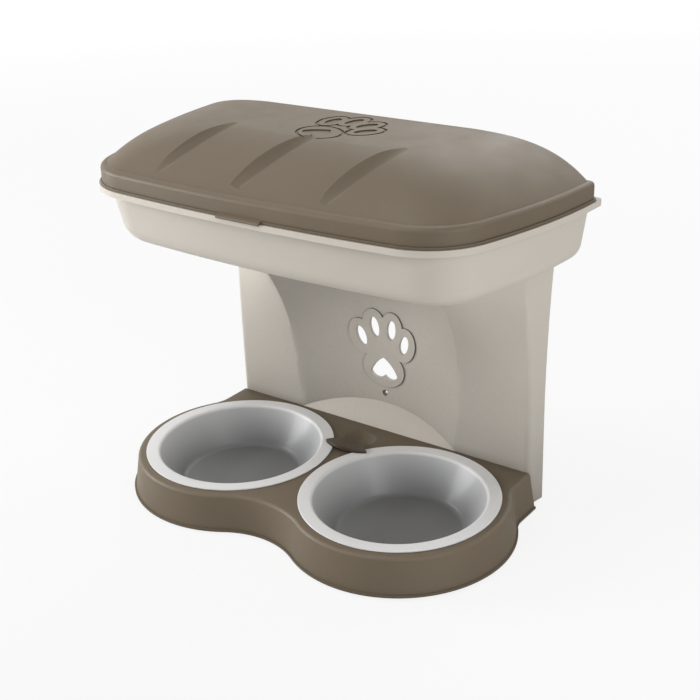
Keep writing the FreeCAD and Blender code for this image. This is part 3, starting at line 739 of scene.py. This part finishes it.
@dataclass(frozen=True)
class Studio:
    """A pale floor, soft lamps, a bright surround and the photograph's camera."""

    floor_half: float = 30.0
    floor_colour: Colour = (222, 222, 222)
    floor_roughness: float = 0.9
    floor_white: float = 0.86
    floor_far: Span = (1.0, 3.5)
    surround: float = 0.13
    eye: Point = (0.8491, -1.0502, 0.8076)
    azimuth: float = 37.14
    elevation: float = 24.06
    roll: float = -2.4
    lens: float = 63.7
    sensor: float = 36.0
    sight: float = 100.0
    lamps: Sequence[Lamp] = (
        Lamp("top_front", (-0.3, -0.62, 2.3), (0.0, 0.0, 0.25), power=16.0, width=1.0, height=0.8),
        Lamp("left", (-2.25, -1.05, 0.75), (0.0, 0.0, 0.25), power=54.0, width=1.2, height=1.2),
        Lamp("right", (2.25, -0.85, 0.75), (0.0, 0.0, 0.25), power=24.0, width=1.2, height=1.2),
        Lamp("back", (0.0, 2.05, 1.7), (0.0, 0.0, 0.3), power=28.0, width=2.4, height=1.6),
    )

    def build(self) -> None:
        """Make the floor, the lamps, the surround and the camera."""
        self.lay_floor()
        for lamp in self.lamps:
            lamp.make()
        self.light_surround()
        self.set_camera()
        bpy.context.scene.view_settings.view_transform = "Standard"

    def lay_floor(self) -> None:
        """Lay the pale floor that keeps the stand's shadow."""
        half = self.floor_half
        mesh = bpy.data.meshes.new("studio_floor")
        corners = [(-half, -half, 0.0), (half, -half, 0.0), (half, half, 0.0), (-half, half, 0.0)]
        mesh.from_pydata(corners, [], [(0, 1, 2, 3)])
        mesh.materials.append(self.paper())
        floor = bpy.data.objects.new("studio_floor", mesh)
        bpy.context.scene.collection.objects.link(floor)

    def paper(self) -> bpy.types.Material:
        """Make the floor's paper, which fades to white for the camera.

        Returns:
            The material.
        """
        tree = Tree("studio_paper")
        tree.shader.inputs["Base Color"].default_value = linear(self.floor_colour)
        tree.shader.inputs["Roughness"].default_value = self.floor_roughness
        glow = tree.add("ShaderNodeEmission")
        glow.inputs["Color"].default_value = WHITE
        reach = tree.add("ShaderNodeVectorMath", operation="LENGTH")
        tree.links.new(tree.place, reach.inputs[0])
        white = tree.spread(reach.outputs["Value"], self.floor_white, 1.0, *self.floor_far)
        seen = tree.add("ShaderNodeLightPath").outputs["Is Camera Ray"]
        amount = tree.join(seen, white, Join.MULTIPLY)
        blend = tree.add("ShaderNodeMixShader")
        tree.links.new(amount, blend.inputs["Fac"])
        tree.links.new(tree.shader.outputs["BSDF"], blend.inputs[1])
        tree.links.new(glow.outputs["Emission"], blend.inputs[2])
        tree.links.new(blend.outputs["Shader"], tree.nodes["Material Output"].inputs["Surface"])
        return tree.material

    def light_surround(self) -> None:
        """Light the stand softly from all round, and show white to the camera and in reflections."""
        world = bpy.data.worlds.new("surround")
        bpy.context.scene.world = world
        world.use_nodes = True
        nodes = world.node_tree.nodes
        links = world.node_tree.links
        back = nodes["Background"]
        back.inputs["Color"].default_value = WHITE
        path = nodes.new("ShaderNodeLightPath")
        seen = path.outputs["Is Camera Ray"]
        for kind in ("Is Glossy Ray", "Is Transmission Ray"):
            either = nodes.new("ShaderNodeMath")
            either.operation = "MAXIMUM"
            links.new(seen, either.inputs[0])
            links.new(path.outputs[kind], either.inputs[1])
            seen = either.outputs["Value"]
        strength = nodes.new("ShaderNodeMapRange")
        strength.inputs["To Min"].default_value = self.surround
        strength.inputs["To Max"].default_value = 1.0
        links.new(seen, strength.inputs["Value"])
        links.new(strength.outputs["Result"], back.inputs["Strength"])

    def set_camera(self) -> None:
        """Stand the camera where the photograph was taken from."""
        data = bpy.data.cameras.new("photo_camera")
        data.lens = self.lens
        data.sensor_width = self.sensor
        data.sensor_fit = "HORIZONTAL"
        data.clip_end = self.sight
        camera = bpy.data.objects.new("photo_camera", data)
        turn = math.radians(self.azimuth)
        rise = math.radians(self.elevation)
        back = Vector((math.sin(turn) * math.cos(rise), -math.cos(turn) * math.cos(rise), math.sin(rise)))
        right = Vector((math.cos(turn), math.sin(turn), 0.0))
        level = Matrix((right, back.cross(right), back)).transposed()
        spin = Matrix.Rotation(math.radians(self.roll), 3, "Z")
        camera.matrix_world = Matrix.Translation(self.eye) @ (level @ spin).to_4x4()
        bpy.context.scene.collection.objects.link(camera)
        bpy.context.scene.camera = camera


def main() -> None:
    """Dress every sub-assembly in order, then build the studio."""
    logging.basicConfig(level=logging.INFO, format="%(name)s: %(message)s")
    stock = Stock()
    finishes = Finishes()
    for part in (FoodBin(stock, finishes), Column(stock, finishes), BowlTray(stock, finishes),
                 Bowls(stock, finishes)):
        for name in part.dress():
            LOG.info("%s: %s", type(part).__name__, name)
    Studio().build()
    LOG.info("studio built")


if __name__ == "__main__":
    main()
